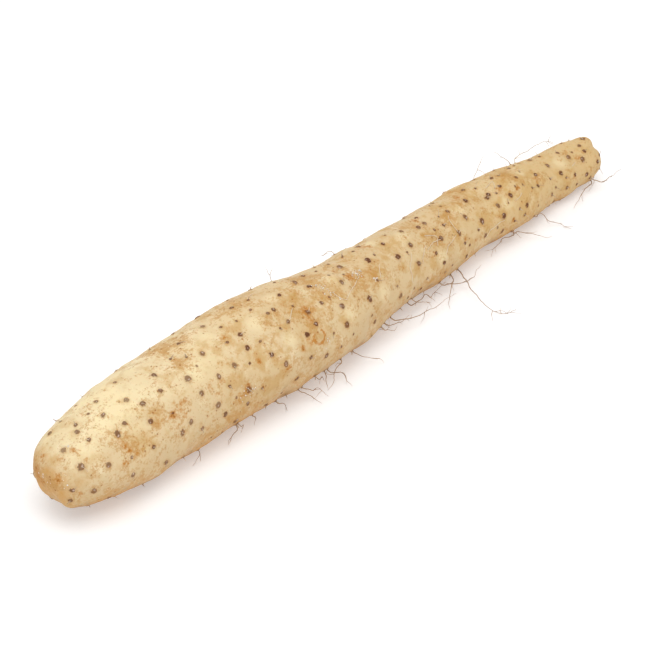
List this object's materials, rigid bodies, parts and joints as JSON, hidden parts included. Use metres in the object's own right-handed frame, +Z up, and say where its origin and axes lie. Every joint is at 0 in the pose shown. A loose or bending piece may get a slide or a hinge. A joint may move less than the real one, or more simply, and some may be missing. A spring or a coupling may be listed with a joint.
{
  "type": "chinese yam",
  "caption": "Long club-shaped chinese yam lying on a table, with cream dotted skin, a thick rounded growing end, a thin cleft neck end and fine wiry rootlets.",
  "frame": {"origin": "on the table that the tuber lies on, under the middle of the whole object's bounding box", "axes": "+X from the thick growing end to the thin neck, +Z up from the table, +Y across, away from the side with most rootlets"},
  "size_m": [0.4918, 0.116, 0.0612],
  "materials": {
    "tuber_skin": "dry, thin cream to tan skin with dark corky dots, a soft slight sheen where it is tight",
    "rootlet": "dry, matt brown root fibre"
  },
  "bodies": {
    "root": {"tuber": "tuber_skin", "rootlet_front_01": "rootlet", "rootlet_front_02": "rootlet", "rootlet_front_03": "rootlet", "rootlet_front_04": "rootlet", "rootlet_front_05": "rootlet", "rootlet_front_06": "rootlet", "rootlet_front_07": "rootlet", "rootlet_front_08": "rootlet", "rootlet_front_09": "rootlet", "rootlet_front_10": "rootlet", "rootlet_front_11": "rootlet", "rootlet_front_12": "rootlet", "rootlet_front_13": "rootlet", "rootlet_front_14": "rootlet", "rootlet_front_15": "rootlet", "rootlet_front_16": "rootlet", "rootlet_front_17": "rootlet", "rootlet_front_18": "rootlet", "rootlet_front_19": "rootlet", "rootlet_front_20": "rootlet", "rootlet_front_21": "rootlet", "rootlet_front_22": "rootlet", "rootlet_front_23": "rootlet", "rootlet_front_24": "rootlet", "rootlet_front_25": "rootlet", "rootlet_back_01": "rootlet", "rootlet_back_02": "rootlet", "rootlet_back_03": "rootlet", "rootlet_back_04": "rootlet", "rootlet_back_05": "rootlet", "rootlet_back_06": "rootlet", "rootlet_back_07": "rootlet", "rootlet_back_08": "rootlet", "rootlet_back_09": "rootlet", "rootlet_back_10": "rootlet"}
  },
  "joints": []
}
